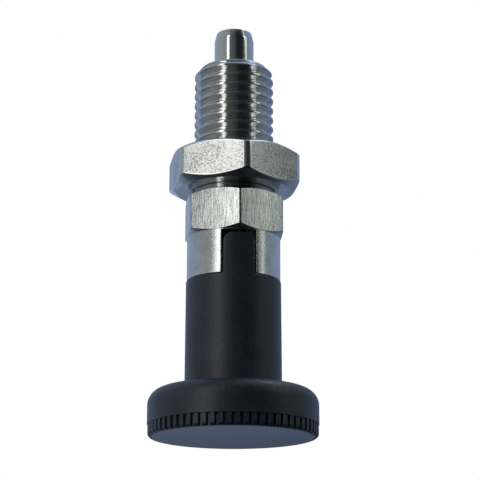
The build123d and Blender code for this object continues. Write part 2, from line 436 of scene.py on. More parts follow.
def steel_tumbled(name, rough=(0.19, 0.28), grain=0.55,
                  dark=(0.22, 0.225, 0.22), light=(0.43, 0.43, 0.418)):
    """Barrelled nut: peppered with small dark pits, denser in patches."""
    m, nt, b = nodes_of(name)
    b.inputs["Metallic"].default_value = 1.0
    pits = noise(nt, coords(nt, (4.2, 4.2, 4.2)), 1.0, 2.0, 0.55, 0.3)
    cloud = noise(nt, coords(nt, (0.32, 0.32, 0.32)), 1.0, 3.0, 0.55)
    dents = noise(nt, coords(nt, (2.2, 2.2, 2.2)), 1.0, 3.0, 0.6)
    # where the cloud is high the pits crowd together
    level = mathn(nt, "ADD", pits, mathn(nt, "MULTIPLY", mathn(nt, "SUBTRACT", cloud, 0.5),
                                         0.55))
    pit = remap(nt, level, 0.52, 0.62, 0.0, 1.0)
    nt.links.new(mix_colour(nt, pit, light, dark), b.inputs["Base Color"])
    nt.links.new(remap(nt, dents, 0.3, 0.7, rough[0], rough[1]), b.inputs["Roughness"])
    nrm = bump(nt, dents, grain, 0.016)
    nrm = bump(nt, pits, 0.85, 0.012, nrm)
    nt.links.new(nrm, b.inputs["Normal"])
    return m


def steel_face(name, rough=(0.16, 0.24)):
    """Machined flat of the nut: faint rings round the axis."""
    return steel_turned(name, rough=rough, aniso=0.45, rings=6.0, ring_bump=0.12,
                        grain=0.12, dark=(0.50, 0.50, 0.49), light=(0.62, 0.62, 0.60))


def plastic(name, dark, light, rough, grain_scale, grain, spec=0.5, depth=0.012):
    m, nt, b = nodes_of(name)
    b.inputs["Specular IOR Level"].default_value = spec
    fine = noise(nt, coords(nt, (grain_scale,) * 3), 1.0, 2.0, 0.55)
    speck = noise(nt, coords(nt, (2.2,) * 3), 1.0, 4.0, 0.7)
    cloud = noise(nt, coords(nt, (0.16,) * 3), 1.0, 3.0, 0.5)
    v = mathn(nt, "ADD", mathn(nt, "MULTIPLY", cloud, 0.45),
              mathn(nt, "MULTIPLY", speck, 0.55))
    nt.links.new(mix_colour(nt, remap(nt, v, 0.40, 0.60, 0.0, 1.0), dark, light),
                 b.inputs["Base Color"])
    nt.links.new(remap(nt, fine, 0.3, 0.7, rough[0], rough[1]), b.inputs["Roughness"])
    nrm = bump(nt, fine, grain, depth)
    nrm = bump(nt, speck, grain * 0.5, depth * 0.85, nrm)
    nt.links.new(nrm, b.inputs["Normal"])
    return m


M_TURNED = steel_turned("steel_turned")
M_THREAD = steel_turned("steel_thread", rough=(0.14, 0.20), aniso=0.80, rings=7.0,
                        ring_bump=0.05, grain=0.06)
M_DRAWN = steel_drawn("steel_drawn")
M_NUT = steel_tumbled("steel_tumbled")
M_NUT_FACE = steel_face("steel_nut_face")
M_PIN = steel_turned("steel_ground_pin", rough=(0.10, 0.15), aniso=0.5, rings=14.0,
                     ring_bump=0.06, grain=0.03,
                     dark=(0.60, 0.605, 0.60), light=(0.68, 0.68, 0.67))
M_REAR = steel_ground("steel_ground_rear")
M_EDGE = steel_turned("steel_burnished_edge", rough=(0.16, 0.24), aniso=0.0, rings=3.0,
                      ring_bump=0.04, grain=0.10, dark=(0.62, 0.62, 0.61),
                      light=(0.70, 0.70, 0.685))
M_WALL = steel_turned("steel_milled_slot", rough=(0.20, 0.30), aniso=0.0, rings=3.0,
                      ring_bump=0.04, grain=0.12, dark=(0.50, 0.505, 0.50),
                      light=(0.62, 0.62, 0.61))
M_SPRING = steel_drawn("steel_spring", rough=(0.25, 0.38), streak=0.1, grain=0.1)
M_FIX = steel_turned("steel_fixing", rough=(0.22, 0.32), aniso=0.3)
M_KNOB = plastic("plastic_knob", (0.011, 0.0155, 0.0275), (0.026, 0.0335, 0.0525),
                 (0.35, 0.47), 6.0, 1.0, 0.5, 0.022)
M_CAP = plastic("plastic_cap", (0.017, 0.0225, 0.032), (0.029, 0.036, 0.049),
                (0.23, 0.28), 5.0, 0.08, 0.30)


# ------------------------------------------------------------------------ body
def thread_table():
    """(distance below the crest's upper edge, radius) over one pitch."""
    deep = (PITCH - CREST_W - ROOT_W) / (2 * T30)
    c, f = CREST_W, deep * T30
    pts = [(-PITCH / 2 + c / 2 + ROOT_W / 2 - 0.001 - ROOT_W / 2, THREAD_R - deep)]
    pts = [(-(f + ROOT_W / 2), THREAD_R - deep), (-f, THREAD_R - deep),
           (0.0, THREAD_R), (c, THREAD_R), (c + f, THREAD_R - deep),
           (c + f + ROOT_W / 2, THREAD_R - deep)]
    prof = rounded(pts, [0.27, 0.06, 0.06, 0.27], 4)
    a = np.array([p[0] for p in prof])
    r = np.array([p[1] for p in prof])
    keep = np.r_[True, np.diff(a) > 1e-6]
    return a[keep], r[keep]


TH_A, TH_R = thread_table()


def thread_radius(th, z):
    """Radius of the threaded surface at an angle and height."""
    zc = CREST_Z + PITCH * (th - CREST_AT) / TAU
    a = (zc - z - TH_A[0]) % PITCH + TH_A[0]
    return float(np.interp(a, TH_A, TH_R))


def make_body():
    s = Shell()
    TURN, THR, DRAWN, REAR, WALL = 0, 1, 2, 3, 4
    nt_ = 192
    th = uniform(nt_)
    z_lo, z_hi = 38.3, 55.25
    # helical strip: its rows follow the crest and root edges
    a_rows = list(TH_A[:-1])
    extra = []
    for i in range(len(a_rows)):
        nxt = TH_A[i + 1]
        gap = nxt - a_rows[i]
        n = 2 if gap > 0.16 else 1
        extra += [a_rows[i] + gap * q / n for q in range(n)]
    a_rows = extra
    m = len(a_rows)
    zc0 = CREST_Z + PITCH * (th[0] - CREST_AT) / TAU
    k_top = math.ceil((z_hi - zc0) / PITCH) + 1
    turns = math.ceil((z_hi - z_lo) / PITCH) + 4
    rows = turns * m

    def row_z(t, q):
        return (CREST_Z + PITCH * (t - CREST_AT) / TAU
                + PITCH * (k_top - q // m) - a_rows[q % m])

    idx = np.zeros((nt_, rows), int)
    zz = np.zeros((nt_, rows))
    for j, t in enumerate(th):
        pts = []
        for q in range(rows):
            z = row_z(t, q)
            zz[j, q] = z
            z = min(max(z, z_lo), z_hi)
            r = thread_radius(t, z)
            pts.append((r * math.cos(t), r * math.sin(t), z))
        idx[j] = s.add(pts)
    eps = 1e-6
    for j in range(nt_):
        j2, shift = (j + 1, 0) if j + 1 < nt_ else (0, m)
        for q in range(rows - 1):
            if q - shift < 0 or q + 1 - shift >= rows:
                continue
            zs = (zz[j, q], zz[j, q + 1], zz[j2, q + 1 - shift], zz[j2, q - shift])
            if min(zs) >= z_hi - eps or max(zs) <= z_lo + eps:
                continue
            s.face((idx[j, q], idx[j2, q - shift], idx[j2, q + 1 - shift],
                    idx[j, q + 1]), THR)
    # upper end: thread cut by the front chamfer
    prev = s.ring([thread_radius(t, z_hi) for t in th], z_hi, th)
    n_up = 28
    for i in range(1, n_up + 1):
        z = z_hi + (Z_FRONT - 0.05 - z_hi) * i / n_up
        env = min(THREAD_R, THREAD_R - FRONT_CUT + (Z_FRONT - z))
        cur = s.ring([min(thread_radius(t, z), env) for t in th], z, th)
        s.band(prev, cur, THR)
        prev = cur
    # front face, bore, floor of the bore, rod hole
    hole = None
    for r, z in ((4.875, Z_FRONT - 0.018), (4.825, Z_FRONT), (4.2, Z_FRONT),
                 (3.32, Z_FRONT), (3.25, Z_FRONT - 0.02),
                 (BORE_R, Z_FRONT - 0.25), (BORE_R, 50.0), (BORE_R, 40.0),
                 (BORE_R, Z_WALL), (ROD_HOLE_R, Z_WALL), (ROD_HOLE_R, Z_SLOT)):
        cur = s.ring(r, z, th)
        s.band(prev, cur, TURN)
        prev = hole = cur
    # lower end: the thread gets shallower and runs out into the plain shank
    prev = s.ring([thread_radius(t, z_lo) for t in th], z_lo, th)
    n_dn = 24
    for i in range(1, n_dn + 1):
        z = z_lo + (SHANK_Z - z_lo) * i / n_dn
        w = 1.0 - i / n_dn
        cur = s.ring([SHANK_R - (SHANK_R - thread_radius(t, z)) * w for t in th], z, th)
        s.band(prev, cur, THR)
        prev = cur
    for r, z in ((SHANK_R, 36.8), (SHANK_R, 36.4), (SHANK_R, 35.97),
                 (SHANK_R + 0.03, 35.90), (SHANK_R + 0.10, COLLAR_Z1)):
        cur = s.ring(r, z, th)
        s.band(prev, cur, TURN)
        prev = cur
    # hexagon collar and the ring of the rear cylinder above the slot
    rho = 0.05
    xc = SLOT_HALF + rho
    yc = math.sqrt((REAR_R - rho) ** 2 - xc ** 2)
    t_edge = math.atan2(yc, xc)                    # tangent point, from +X
    specials = hex_columns(COLLAR_AF, COLLAR_CORNER, 0.0, 3, COLLAR_CROWN)
    specials += [t_edge, -t_edge, math.pi - t_edge, math.pi + t_edge,
                 math.pi / 2, -math.pi / 2]
    thh = columns(168, specials)
    profs = []
    for t in thh:
        rh = hex_radius(t, COLLAR_AF, COLLAR_CORNER, 0.0, COLLAR_CROWN)
        zt = COLLAR_Z1 - (rh - COLLAR_RING) * T30
        zb = COLLAR_Z0 + (rh - COLLAR_RING) * T30
        zc = COLLAR_Z0 + (REAR_R - COLLAR_RING) * T30
        profs.append(rounded(
            [(6.3, COLLAR_Z1), (COLLAR_RING, COLLAR_Z1), (rh, zt), (rh, zb),
             (REAR_R, zc)], [0.06, 0.07, 0.07], 3) + [(REAR_R, Z_SLOT)])
    n_rows = len(profs[0])
    loops = []
    for k in range(n_rows):
        loops.append(s.add([(p[k][0] * math.cos(t), p[k][0] * math.sin(t), p[k][1])
                            for p, t in zip(profs, thh)]))
    s.stitch(prev, th, loops[0], thh, TURN)
    for k in range(n_rows - 1):
        s.band(loops[k], loops[k + 1],
               DRAWN if 8 <= k < 9 else REAR if k >= n_rows - 3 else TURN)
    rim = loops[-1]
    # rear cylinder: two legs either side of the slot
    at = {round((t + math.pi / 2) % TAU, 7): i for i, t in enumerate(thh)}

    def col(t):
        return at[round((t + math.pi / 2) % TAU, 7)]

    def leg(sign):
        """Outline of a leg at slot height: [(x, y, normal x, normal y)], rim first."""
        if sign > 0:
            i0, i1 = col(-t_edge), col(t_edge)
        else:
            i0, i1 = col(math.pi - t_edge), col(math.pi + t_edge)
        ids = [i % len(thh) for i in range(i0, i1 + 1 if i1 >= i0 else i1 + 1 + len(thh))]
        out = [(REAR_R * math.cos(thh[i]), REAR_R * math.sin(thh[i]),
                math.cos(thh[i]), math.sin(thh[i])) for i in ids]
        n_arc = 4
        extra = []
        y_end = yc if sign > 0 else -yc
        a0 = math.atan2(y_end, sign * xc)
        a1 = math.pi if sign > 0 else 0.0
        if sign < 0:
            a0 = a0 % TAU
            a1 = TAU
        for q in range(1, n_arc + 1):
            a = a0 + (a1 - a0) * q / n_arc
            extra.append((sign * xc + rho * math.cos(a), y_end + rho * math.sin(a),
                          math.cos(a), math.sin(a)))
        for q in range(1, 8):
            y = y_end * (1 - 2 * q / 8)
            extra.append((sign * SLOT_HALF, y, -sign, 0.0))
        b0 = a1 if sign > 0 else 0.0
        b1 = math.atan2(-y_end, sign * xc)
        if sign > 0:
            b1 = b1 % TAU
        for q in range(0, n_arc):
            a = b0 + (b1 - b0) * q / n_arc
            extra.append((sign * xc + rho * math.cos(a), -y_end + rho * math.sin(a),
                          math.cos(a), math.sin(a)))
        return ids, out, extra

    for sign in (1, -1):
        ids, arc, extra = leg(sign)
        outline = arc + extra
        top = [rim[i] for i in ids] + s.add([(x, y, Z_SLOT) for x, y, _, _ in extra])
        prev = top
        rb = 0.07
        levels = [(27.4, 0.0), (25.2, 0.0), (Z_BODY_END + rb, 0.0)]
        levels += [(Z_BODY_END + rb * (1 - math.sin(a)), rb * (1 - math.cos(a)))
                   for a in (math.pi / 6, math.pi / 3, math.pi / 2)]
        for z, inset in levels:
            cur = s.add([(x - nx * inset, y - ny * inset, z)
                         for x, y, nx, ny in outline])
            first = len(s.m)
            s.band(prev, cur, REAR)
            for i in range(len(arc) + 3, len(arc) + 11):
                s.m[first + i] = WALL      # the milled side of the slot
            prev = cur
        s.face(prev, TURN)
        # slot ceiling, this side of the YZ plane
        e_top = top[len(ids):]
        if sign > 0:
            lower = [rim[i % len(thh)] for i in range(col(-math.pi / 2), ids[0] + 1)]
            upper = [rim[i] for i in range(ids[-1], col(math.pi / 2) + 1)]
            holes = [hole[i] for i in range(nt_ // 2, -1, -1)]
            # -Y end, tangent, wall, +Y tangent, +Y end, hole back to -Y
            loop = lower[:-1] + [lower[-1]] + e_top[::-1] + upper + holes
        else:
            lower = [rim[i] for i in range(col(math.pi / 2), ids[0] + 1)]
            last = len(thh)
            upper = [rim[i % last] for i in range(ids[-1], last + 1)]
            holes = [hole[i % nt_] for i in range(nt_, nt_ // 2 - 1, -1)]
            loop = lower + e_top[::-1] + upper + holes
        s.face(loop, TURN)
    ob = s.build("Body", [M_TURNED, M_THREAD, M_DRAWN, M_REAR, M_WALL])
    return ob


# -------------------------------------------------------------------- lock nut
def make_nut():
    s = Shell()
    th = columns(144, hex_columns(NUT_AF, NUT_CORNER, NUT_TURN, 5, NUT_CROWN))
    profs = []
    for t in th:
        rh = hex_radius(t, NUT_AF, NUT_CORNER, NUT_TURN, NUT_CROWN)
        dz = (rh - NUT_RING) * T30
        profs.append(rounded(
            [(NUT_BORE_R, 40.0), (NUT_BORE_R, NUT_Z0 + 0.28), (NUT_SINK_R, NUT_Z0),
             (NUT_RING, NUT_Z0), (rh, NUT_Z0 + dz), (rh, NUT_Z1 - dz),
             (NUT_RING, NUT_Z1), (NUT_SINK_R, NUT_Z1), (NUT_BORE_R, NUT_Z1 - 0.28),
             (NUT_BORE_R, 40.0)],
            [0.03, 0.05, 0.12, 0.34, 0.34, 0.12, 0.05, 0.03], 3))
    n = len(profs[0])
    loops = []
    for k in range(n - 1):
        loops.append(s.add([(p[k][0] * math.cos(t), p[k][0] * math.sin(t), p[k][1])
                            for p, t in zip(profs, th)]))
    for k in range(n - 1):
        # rows: 0 bore, 1-4 corner, 5-8 sink edge, 9-12 ring, 13-16 lower corner,
        # 17-20 upper corner, ...
        mat = 0 if k == 16 else 2 if 13 <= k < 20 else 1
        first = len(s.m)
        s.band(loops[k], loops[(k + 1) % (n - 1)], mat)
        if k == 16:
            # the rounded corners are bar stock, smoother than the milled flats
            tang = hex_arc(NUT_AF, NUT_CORNER, NUT_CROWN)[1]
            for i, t in enumerate(th):
                m = t + 0.5 * ((th[(i + 1) % len(th)] - t) % TAU)
                d = abs((m + math.pi / 2 - NUT_TURN) % (math.pi / 3))
                if min(d, math.pi / 3 - d) < tang:
                    s.m[first + i] = 2
    return s.build("LockNut", [M_NUT, M_NUT_FACE, M_EDGE])


# ------------------------------------------------------------------- index pin
def make_pin():
    s = Shell()
    rp = 2.985
    nose = [(0.0, Z_TIP), (rp - 0.32, Z_TIP), (rp, Z_TIP - 1.30), (rp, 59.5)]
    prof = rounded(nose, [0.16, 1.2], 5)
    prof = [prof[0], (0.6, Z_TIP), (1.2, Z_TIP)] + prof[1:]
    tail = [(rp, 58.0), (rp, 52.0), (rp, 46.2), (rp - 0.2, 46.0), (ROD_R, 46.0),
            (ROD_R, 30.0), (ROD_R, 15.0), (STUD_R, 15.0), (STUD_R, 6.5),
            (STUD_R - 0.3, 6.2), (0.0, 6.2)]
    s.lathe(prof + tail, uniform(128), 0)
    return s.build("IndexPin", [M_PIN])


# --------------------------------------------------------------- return spring
def make_spring():
    s = Shell()
    wire, mr, turns, ends = 0.275, 2.5, 6.5, 1.25
    z0 = 33.0 + wire + 0.01
    length = 13.0 - 2 * wire - 0.02
    ep = 2 * wire + 0.02
    eh = ends * ep
    mid = length - 2 * eh
    total = turns + 2 * ends
    n = 420
    prev = first = None
    for i in range(n + 1):
        u = total * i / n
        if u < ends:
            z, slope = z0 + ep * u, ep
        elif u < ends + turns:
            z, slope = z0 + eh + mid * (u - ends) / turns, mid / turns
        else:
            z, slope = z0 + eh + mid + ep * (u - ends - turns), ep
        a = TAU * u
        p = np.array([mr * math.cos(a), mr * math.sin(a), z])
        t = np.array([-mr * TAU * math.sin(a), mr * TAU * math.cos(a), slope])
        t /= np.linalg.norm(t)
        rad = np.array([math.cos(a), math.sin(a), 0.0])
        up = np.cross(t, rad)
        cur = s.add([p + wire * (math.cos(w) * rad + math.sin(w) * up)
                     for w in (TAU * q / 12 for q in range(12))])
        if prev:
            s.band(prev, cur)
        else:
            first = cur
        prev = cur
    s.face(first)
    s.face(prev)
    return s.build("ReturnSpring", [M_SPRING], 40.0)


# ------------------------------------------------------------------------ knob
def make_knob():
    s = Shell()
    # --- serrated band, its own columns: four on each groove, four on each tooth
    offs = [-0.305, -0.265, -0.205, -0.11, 0.11, 0.205, 0.265, 0.305, 0.60]
    deep = [0.0, 0.05, 0.30, GROOVE_DEEP, GROOVE_DEEP, 0.30, 0.05, 0.0, 0.0]
    th_b, dp = [], []
    for i in range(TEETH):
        for o, d in zip(offs, deep):
            th_b.append(KNURL_AT + TAU * i / TEETH + o / TOOTH_R)
            dp.append(d)
    dp = np.array(dp)
    rr = 0.50
    base = [(TOOTH_R - rr, 0.0)]
    base += [(TOOTH_R - rr + rr * math.sin(a), rr - rr * math.cos(a))
             for a in (math.radians(x) for x in (12, 24, 36, 48, 60, 75, 90))]
    base += [(TOOTH_R, 1.0), (TOOTH_R, 1.5), (TOOTH_R, Z_KNURL - 0.03)]
    loops = []
    for r, z in base:
        loops.append(s.ring([min(r, TOOTH_R - d) for d in dp], z, th_b))
    loops.append(s.ring([TOOTH_R - d if d < 0.1 else TOOTH_R - d + 0.03 for d in dp],
                        Z_KNURL, th_b))
    for k in range(len(loops) - 1):
        s.band(loops[k], loops[k + 1])
    led = s.ring(HEAD_R - 0.05, Z_KNURL, th_b)
    s.band(loops[-1], led)
    rim = s.ring(HEAD_R, Z_KNURL + 0.05, th_b)
    s.band(led, rim)
    # --- columns of the smooth part
    hole_x = [0.0, 0.30, 0.60, 0.90]
    arch = []                                  # (x, z, normal x, normal z), right side up
    arch.append((TONGUE_HALF, 23.12, 1.0, 0.0))
    arch.append((TONGUE_HALF, 25.0, 1.0, 0.0))
    cxx, czz = TONGUE_HALF - TONGUE_ROUND, Z_TONGUE - TONGUE_ROUND
    bs = [90.0, 80.0, 70.0, 60.0, math.degrees(math.asin((2.0 - cxx) / TONGUE_ROUND)),
          38.0, 28.0, 18.0, 9.0, 0.0]
    for b in bs:
        b = math.radians(b)
        arch.append((cxx + TONGUE_ROUND * math.sin(b), czz + TONGUE_ROUND * math.cos(b),
                     math.sin(b), math.cos(b)))
    for x in (0.80, 0.40, 0.0):
        arch.append((x, Z_TONGUE, 0.0, 1.0))
    right = arch
    left = [(-x, z, -nx, nz) for x, z, nx, nz in reversed(arch[:-1])]
    arch = right + left
    er = 0.11                                  # edge rounding of the tongue
    R = SLEEVE_TOP_R
    inset = [(x - nx * er, z - nz * er) for x, z, nx, nz in arch]
    xs = sorted({round(x, 9) for x, _ in inset})

    def front(x, r=R):
        return -math.sqrt(r * r - x * x)

    specials = []
    for x in xs:
        y = front(x)
        specials += [math.atan2(y, x), math.atan2(-y, x)]
    yt = front(TONGUE_HALF)
    specials += [math.atan2(yt, TONGUE_HALF), math.atan2(-yt, TONGUE_HALF),
                 math.atan2(yt, -TONGUE_HALF), math.atan2(-yt, -TONGUE_HALF)]
    thk = columns(200, specials, keep=0.006)
    # --- rim, crown, foot, sleeve
    prof = [(HEAD_R, 2.3), (HEAD_R, 3.4), (HEAD_R, Z_CROWN - CROWN_R)]
    prof += [(HEAD_R - CROWN_R + CROWN_R * math.cos(a), Z_CROWN - CROWN_R
              + CROWN_R * math.sin(a))
             for a in (math.radians(x) for x in range(8, 91, 8))]
    prof += [(HEAD_R - CROWN_R, Z_CROWN), (8.6, Z_CROWN)]
    f = 0.38
    prof += [(SLEEVE_FOOT_R + f - f * math.sin(a), Z_CROWN + f - f * math.cos(a))
             for a in (math.radians(x) for x in (0, 18, 36, 54, 72, 90))]
    g = 0.25
    zr = Z_SHOULDER - g
    prof += [(SLEEVE_FOOT_R - 0.02, 11.0), (SLEEVE_FOOT_R - 0.04, 15.0),
             (SLEEVE_TOP_R + 0.01, 20.0), (SLEEVE_TOP_R, zr - 0.15),
             (SLEEVE_TOP_R, zr)]
    lo = s.lathe(prof, thk)
    s.stitch(rim, th_b, lo[0], thk)
    top = lo[-1]
    at = {round(t % TAU, 6): i for i, t in enumerate(thk)}

    def col(t):
        k = round(t % TAU, 6)
        for d in (0, 1e-6, -1e-6):
            if round(k + d, 6) in at:
                return at[round(k + d, 6)]
        return min(range(len(thk)), key=lambda i: abs((thk[i] - t + math.pi) % TAU - math.pi))

    def between(i, j):
        """Ring vertices strictly between two columns, the short way round."""
        n = len(thk)
        d = (j - i + n // 2) % n - n // 2
        st = 1 if d > 0 else -1
        return [top[(i + st * q) % n] for q in range(1, abs(d))]

    fil = [(R - g + g * math.cos(a), zr + g * math.sin(a))
           for a in (math.radians(x) for x in (22.5, 45, 67.5, 90))]
    n_k = len(thk)
    side_pts = {}
    # --- tongue: outer face, rounded edge, for the -Y and the +Y end
    edge_rows = {}
    for end in (-1, 1):
        cols = []
        for (x, z) in inset:
            y = front(x) * (-end) if end > 0 else front(x)
            y = end * abs(front(x))
            cols.append(s.add([(x, y, z)])[0])
        # vertical strips from the arch down to the sleeve's top ring
        rc = [col(math.atan2(end * abs(front(x)), x)) for x, _ in inset]
        ring_ids = [top[i] for i in rc]
        # points on the straight sides share a column: only the topmost counts
        first = 2
        last = len(inset) - 3
        s.face([ring_ids[0], cols[0], cols[1], cols[2], cols[3], ring_ids[3]]
               + between(rc[3], rc[0]))
        for k in range(3, last - 1):
            s.face([ring_ids[k], cols[k], cols[k + 1], ring_ids[k + 1]]
                   + between(rc[k + 1], rc[k]))
        s.face([ring_ids[last - 1], cols[last - 1], cols[last], cols[last + 1],
                cols[last + 2], ring_ids[last + 2]] + between(rc[last + 2], rc[last - 1]))
        rows = [cols]
        for a in (math.radians(30), math.radians(60), math.radians(90)):
            row = []
            for (x, z, nx, nz) in arch:
                px = x - nx * er * (1 - math.sin(a))
                pz = z - nz * er * (1 - math.sin(a))
                py = end * (abs(front(px)) - er * (1 - math.cos(a)))
                row.append((px, py, pz))
            rows.append(s.add(row))
        for k in range(3):
            s.band(rows[k], rows[k + 1], closed=False)
        edge_rows[end] = rows
    # --- arch surface across the tongue, with the rod's hole
    a_lo, a_hi = edge_rows[-1][-1], edge_rows[1][-1]
    hole = {}
    for k, (x, z, _, _) in enumerate(arch):
        if abs(x) <= ROD_R + 1e-6:
            y = math.sqrt(max(0.0, ROD_R ** 2 - x * x))
            if y < 1e-4:
                h = s.add([(x, 0.0, z)])[0]
                hole[k] = (h, h)
            else:
                hole[k] = tuple(s.add([(x, -y, z), (x, y, z)]))
    for k in range(len(arch) - 1):
        h0, h1 = hole.get(k), hole.get(k + 1)
        if h0 and h1:
            s.face((a_lo[k], a_lo[k + 1], h1[0], h0[0]))
            s.face((h0[1], h1[1], a_hi[k + 1], a_hi[k]))
        elif h0 or h1:
            if h0:
                s.face((a_lo[k], a_lo[k + 1], a_hi[k + 1], a_hi[k], h0[0]))
            else:
                s.face((a_lo[k], a_lo[k + 1], h1[0], a_hi[k + 1], a_hi[k]))
        elif 2 <= k < len(arch) - 3:
            s.face((a_lo[k], a_lo[k + 1], a_hi[k + 1], a_hi[k]))
    # hole wall down to the rod's shoulder, then the stud's clearance hole
    ks = sorted(hole)
    loop = [hole[k][0] for k in ks] + [hole[k][1] for k in reversed(ks)][1:-1]
    ang = [math.atan2(s.v[i][1], s.v[i][0]) for i in loop]
    prev = loop
    for r, z in ((ROD_R, 22.0), (ROD_R, 15.0), (STUD_R + 0.05, 15.0),
                 (STUD_R + 0.05, 10.0)):
        cur = s.ring(r, z, ang)
        s.band(prev, cur)
        prev = cur
    th_i = uniform(96)
    inner = s.lathe([(WELL_R, 10.0), (WELL_R, 4.6), (CAVITY_R, 4.6), (CAVITY_R, 1.0),
                     (RECESS_R, 1.0), (RECESS_R, 0.015), (RECESS_R + 0.015, 0.0)], th_i)
    s.stitch(prev, ang, inner[0], th_i)
    s.stitch(inner[-1], th_i, loops[0], th_b)
    # --- shoulder either side of the tongue
    for sign in (1, -1):
        t0 = math.atan2(-abs(yt), sign * TONGUE_HALF)
        t1 = math.atan2(abs(yt), sign * TONGUE_HALF)
        if sign > 0:
            i0, i1 = col(t0), col(t1)
        else:
            i0, i1 = col(t1), col(t0)
        ids = list(range(i0, i1 + 1)) if i1 >= i0 else \
            list(range(i0, n_k)) + list(range(0, i1 + 1))
        rows = [[top[i] for i in ids]]
        for r, z in fil:
            row = []
            for q, i in enumerate(ids):
                if q in (0, len(ids) - 1):
                    y = math.sqrt(r * r - TONGUE_HALF ** 2)
                    y = y if math.sin(thk[i]) > 0 else -y
                    row.append((sign * TONGUE_HALF, y, z))
                else:
                    row.append((r * math.cos(thk[i]), r * math.sin(thk[i]), z))
            rows.append(s.add(row))
        for k in range(len(rows) - 1):
            s.band(rows[k], rows[k + 1], closed=False)
        # foot of the tongue's side wall on the shoulder
        ends = {}
        for end in (-1, 1):
            src = edge_rows[end]
            k = 0 if sign > 0 else len(arch) - 1
            g3 = s.v[src[-1][k]]
            foot = s.add([(sign * TONGUE_HALF, g3[1], Z_SHOULDER)])[0]
            ends[end] = (foot, [r_[k] for r_ in src])
        # which end of ids is at -Y
        q_lo = 0 if math.sin(thk[ids[0]]) < 0 else len(ids) - 1
        q_hi = len(ids) - 1 - q_lo
        s.face([rows[-1][q] for q in
                (range(len(ids)) if q_lo == 0 else range(len(ids) - 1, -1, -1))]
               + [ends[1][0], ends[-1][0]])
        for end, q in ((-1, q_lo), (1, q_hi)):
            foot, gs = ends[end]
            xi = inset[0][0] if sign > 0 else inset[-1][0]
            r0 = top[col(math.atan2(end * abs(front(xi)), xi))]
            s.face([r0] + gs + [foot] + [rows[k][q] for k in range(len(rows) - 1, -1, -1)])
        # side wall
        k0, k1, k2 = (0, 1, 2) if sign > 0 else (len(arch) - 1, len(arch) - 2, len(arch) - 3)
        lo_, hi_ = edge_rows[-1][-1], edge_rows[1][-1]
        s.face([ends[-1][0], lo_[k0], lo_[k1], lo_[k2], hi_[k2], hi_[k1], hi_[k0],
                ends[1][0]])
    return s.build("Knob", [M_KNOB])


# --------------------------------------------------------------------- end cap
def make_cap():
    s = Shell()
    dish = 0.16                                    # the disc is slightly hollow
    prof = [(0.0, dish)] + [(r, dish * (1.0 - (r / 11.4) ** 2))
                            for r in (1.5, 3.0, 4.5, 6.0, 7.5, 9.0, 10.0, 10.8, 11.2)]
    prof += [(11.4, 0.0), (11.74, 0.0),
            (11.80, 0.012), (11.835, 0.045), (11.85, 0.10), (11.85, 0.95),
            (11.80, 1.0), (10.15, 1.0), (10.15, 1.5), (9.85, 1.8), (5.0, 1.8),
            (0.0, 1.8)]
    s.lathe(prof, uniform(160), 0)
    return s.build("EndCap", [M_CAP])


body = make_body()
nut = make_nut()
pin = make_pin()
spring = make_spring()
knob = make_knob()
cap = make_cap()

for piece, node, rides, slot in (
        (body, "body", "housing", "body_stainless"),
        (nut, "lock_nut", "nut", "nut_stainless"),
        (pin, "index_pin", "plunger", "pin_stainless"),
        (spring, "return_spring", "housing", "spring_wire"),
        (knob, "knob", "plunger", "knob_plastic"),
        (cap, "end_cap", "plunger", "cap_plastic")):
    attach(piece, rides)
    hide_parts(node)
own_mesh(spring)

for node in ("knob_washer", "knob_nut"):
    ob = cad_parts[node]
    ob.data.materials.clear()
    ob.data.materials.append(M_FIX)


# ------------------------------------------------------------------ stage: floor
def make_floor():
    me = bpy.data.meshes.new("floor")
    r, z = 1.6, -0.0066
    me.from_pydata([(-r, -r, z), (r, -r, z), (r, r, z), (-r, r, z)], [], [(0, 1, 2, 3)])
    ob = bpy.data.objects.new("floor", me)
    bpy.context.scene.collection.objects.link(ob)
    m = bpy.data.materials.new("floor_pale")
    m.use_nodes = True
    nt = m.node_tree
    nt.nodes.clear()
    out = nt.nodes.new("ShaderNodeOutputMaterial")
    diff = nt.nodes.new("ShaderNodeBsdfDiffuse")
    emit = nt.nodes.new("ShaderNodeEmission")
    add = nt.nodes.new("ShaderNodeAddShader")
    clear = nt.nodes.new("ShaderNodeBsdfTransparent")
    mix = nt.nodes.new("ShaderNodeMixShader")
    geo = nt.nodes.new("ShaderNodeNewGeometry")
    lp = nt.nodes.new("ShaderNodeLightPath")
    mott = noise(nt, coords(nt, (0.02, 0.02, 0.02)), 1.0, 3.0, 0.5)
    nt.links.new(mix_colour(nt, mott, (0.60, 0.60, 0.60), (0.63, 0.63, 0.63)),
                 diff.inputs["Color"])
    emit.inputs["Color"].default_value = (0.50, 0.50, 0.51, 1.0)
    emit.inputs["Strength"].default_value = 1.0
    nt.links.new(diff.outputs[0], add.inputs[0])
    nt.links.new(emit.outputs[0], add.inputs[1])
    shown = mathn(nt, "MULTIPLY", lp.outputs["Is Camera Ray"],
                  mathn(nt, "SUBTRACT", 1.0, geo.outputs["Backfacing"]))
    nt.links.new(shown, mix.inputs[0])
    nt.links.new(clear.outputs[0], mix.inputs[1])
    nt.links.new(add.outputs[0], mix.inputs[2])
    nt.links.new(mix.outputs[0], out.inputs["Surface"])
    me.materials.append(m)
    return ob


make_floor()

# ------------------------------------------------------------------ studio light
CAM_AZ = -6.9            # degrees from -Y toward +X


def toward(az, el):
    """Unit vector at an azimuth from the camera's side (right positive)."""
    a, e = math.radians(CAM_AZ + az), math.radians(el)
    return Vector((math.sin(a) * math.cos(e), -math.cos(a) * math.cos(e), math.sin(e)))


